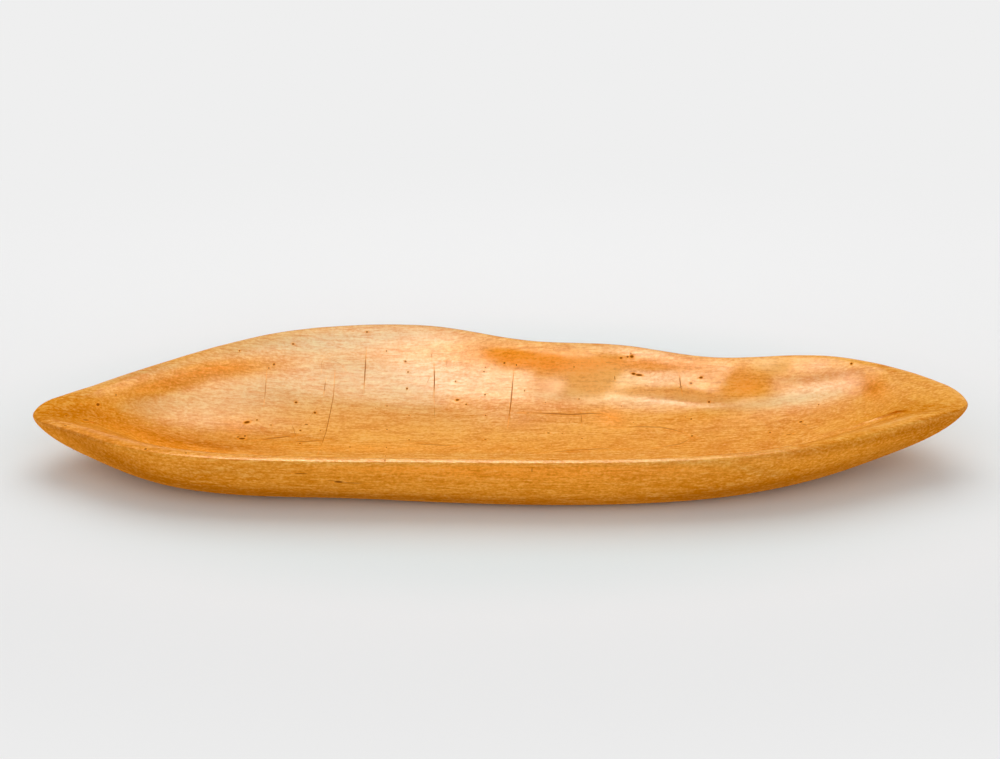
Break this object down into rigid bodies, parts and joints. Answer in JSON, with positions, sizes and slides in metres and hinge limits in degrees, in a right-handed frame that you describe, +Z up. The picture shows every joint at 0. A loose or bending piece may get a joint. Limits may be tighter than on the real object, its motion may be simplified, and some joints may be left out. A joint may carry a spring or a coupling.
{
  "type": "wooden bowl",
  "caption": "Long free-form wooden dish with a straight front edge, a waved back edge, lifted pointed tips and a flat foot.",
  "frame": {"origin": "on the surface the dish stands on, under the centre of its box", "axes": "+Z up, +X along the length towards the higher tip, -Y towards the straight front edge"},
  "size_m": [0.6, 0.168, 0.0507],
  "materials": {
    "wood": "satin lacquer over pale amber wood, worn and lightly knife-marked in the hollow"
  },
  "bodies": {
    "root": {"bowl": "wood"}
  },
  "joints": []
}
